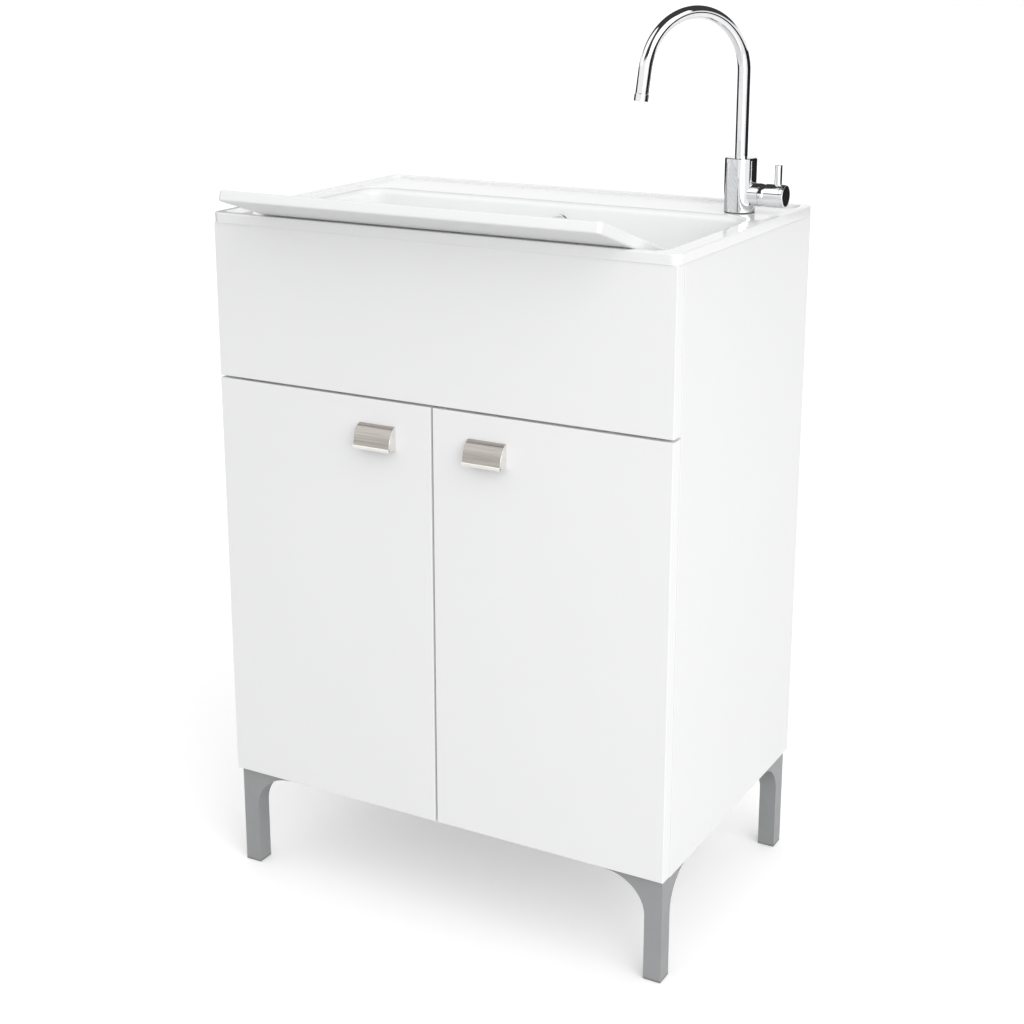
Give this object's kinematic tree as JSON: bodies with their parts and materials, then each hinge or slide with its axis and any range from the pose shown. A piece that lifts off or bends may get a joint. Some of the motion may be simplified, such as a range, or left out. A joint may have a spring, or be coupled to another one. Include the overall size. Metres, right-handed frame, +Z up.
{
  "type": "utility laundry sink with base cabinet",
  "caption": "Floor-standing laundry sink: deep white basin with a sloping ribbed washboard, swivel-spout side-lever tap, two-door base cabinet and bracketed legs.",
  "frame": {"origin": "on the floor, under the middle of the overall width and depth", "axes": "+X to the right seen from the front, +Y to the wall behind, +Z up"},
  "size_m": [0.6, 0.473, 1.088],
  "materials": {
    "basin_acrylic": "smooth glossy white",
    "washboard_plastic": "moulded white plastic, satin gloss",
    "melamine_board": "white melamine-faced chipboard, satin",
    "door_lacquer": "white lacquered board, satin gloss",
    "leg_plastic": "mid-grey moulded plastic, fine grain",
    "glide_rubber": "grey like the legs, matt",
    "satin_nickel": "satin nickel, slightly warm",
    "chrome_plate": "polished",
    "zinc_steel": "bright zinc-plated",
    "fastener_steel": "bright zinc-plated",
    "gasket_rubber": "black, matt",
    "plug_rubber": "dark grey, matt",
    "buffer_plastic": "clear to milky, soft",
    "trap_plastic": "white moulded pipe plastic",
    "shank_brass": "turned",
    "nut_plastic": "black moulded"
  },
  "bodies": {
    "cabinet": {"back_rail_bottom": "melamine_board", "back_rail_top": "melamine_board", "basin": "basin_acrylic", "bottom_panel": "melamine_board", "deck_brackets": "zinc_steel", "door_buffers": "buffer_plastic", "fascia_brackets": "zinc_steel", "fascia_panel": "door_lacquer", "foot_glide_front_left": "glide_rubber", "foot_glide_front_right": "glide_rubber", "foot_glide_rear_left": "glide_rubber", "foot_glide_rear_right": "glide_rubber", "front_rail": "melamine_board", "hinge_arms_left": "zinc_steel", "hinge_arms_right": "zinc_steel", "hinge_plates": "zinc_steel", "leg_front_left": "leg_plastic", "leg_front_right": "leg_plastic", "leg_rear_left": "leg_plastic", "leg_rear_right": "leg_plastic", "leg_screws": "fastener_steel", "overflow_elbow": "trap_plastic", "overflow_pipe": "trap_plastic", "overflow_ring": "chrome_plate", "side_panel_left": "melamine_board", "side_panel_right": "melamine_board", "small_screws": "fastener_steel", "tap_body": "chrome_plate", "tap_gasket": "gasket_rubber", "tap_locknut": "nut_plastic", "tap_shank": "shank_brass", "tap_washer": "shank_brass", "trap_body": "trap_plastic", "trap_cup": "trap_plastic", "trap_nut": "trap_plastic", "trap_outlet": "trap_plastic", "waste_body": "trap_plastic", "waste_flange": "chrome_plate", "waste_gasket": "gasket_rubber"},
    "door_left": {"door_left": "door_lacquer", "hinge_cups_left": "zinc_steel", "hinge_cup_screws_left": "fastener_steel", "cup_pull_left": "satin_nickel", "pull_screws_left": "fastener_steel"},
    "door_right": {"door_right": "door_lacquer", "hinge_cups_right": "zinc_steel", "hinge_cup_screws_right": "fastener_steel", "cup_pull_right": "satin_nickel", "pull_screws_right": "fastener_steel"},
    "hinge_link_left": {"hinge_links_left": "zinc_steel"},
    "hinge_link_right": {"hinge_links_right": "zinc_steel"},
    "spout": {"spout": "chrome_plate", "aerator": "chrome_plate"},
    "mixer_swivel": {"mixer_dome": "chrome_plate"},
    "mixer_handle": {"mixer_cap": "chrome_plate", "mixer_lever": "chrome_plate"},
    "washboard": {"washboard": "washboard_plastic"},
    "drain_plug": {"drain_plug": "plug_rubber", "plug_knob": "chrome_plate"}
  },
  "joints": [
    {"name": "door_left_link", "type": "hinge", "parent": "cabinet", "child": "hinge_link_left", "pos_m": [-0.2535, -0.1393, 0.3907], "axis": [0, 0, 1], "range_deg": [0, 23.4]},
    {"name": "door_left_hinge", "type": "hinge", "parent": "hinge_link_left", "child": "door_left", "pos_m": [-0.2885, -0.148, 0.3907], "axis": [0, 0, -1], "range_deg": [0, 113.4]},
    {"name": "door_right_link", "type": "hinge", "parent": "cabinet", "child": "hinge_link_right", "pos_m": [0.2535, -0.1393, 0.3907], "axis": [0, 0, -1], "range_deg": [0, 23.4]},
    {"name": "door_right_hinge", "type": "hinge", "parent": "hinge_link_right", "child": "door_right", "pos_m": [0.2885, -0.148, 0.3907], "axis": [0, 0, 1], "range_deg": [0, 113.4]},
    {"name": "spout_swivel", "type": "hinge", "parent": "cabinet", "child": "spout", "pos_m": [0.235, 0.1615, 0.9], "axis": [0, 0, 1], "range_deg": [-110, 110]},
    {"name": "mixer_turn", "type": "hinge", "parent": "cabinet", "child": "mixer_swivel", "pos_m": [0.261, 0.1615, 0.8685], "axis": [1, 0, 0], "range_deg": [-45, 45]},
    {"name": "mixer_tilt", "type": "hinge", "parent": "mixer_swivel", "child": "mixer_handle", "pos_m": [0.261, 0.1615, 0.8685], "axis": [0, -1, 0], "range_deg": [0, 18]},
    {"name": "washboard_lift", "type": "slide", "parent": "cabinet", "child": "washboard", "axis": [0, 0, 1], "range_m": [0, 0.12]},
    {"name": "plug_lift", "type": "slide", "parent": "cabinet", "child": "drain_plug", "axis": [0, 0, 1], "range_m": [0, 0.05]}
  ],
  "couplings": [
    {"joint": "door_left_link", "follows": "door_left_hinge", "ratio": 0.20635},
    {"joint": "door_right_link", "follows": "door_right_hinge", "ratio": 0.20635}
  ]
}
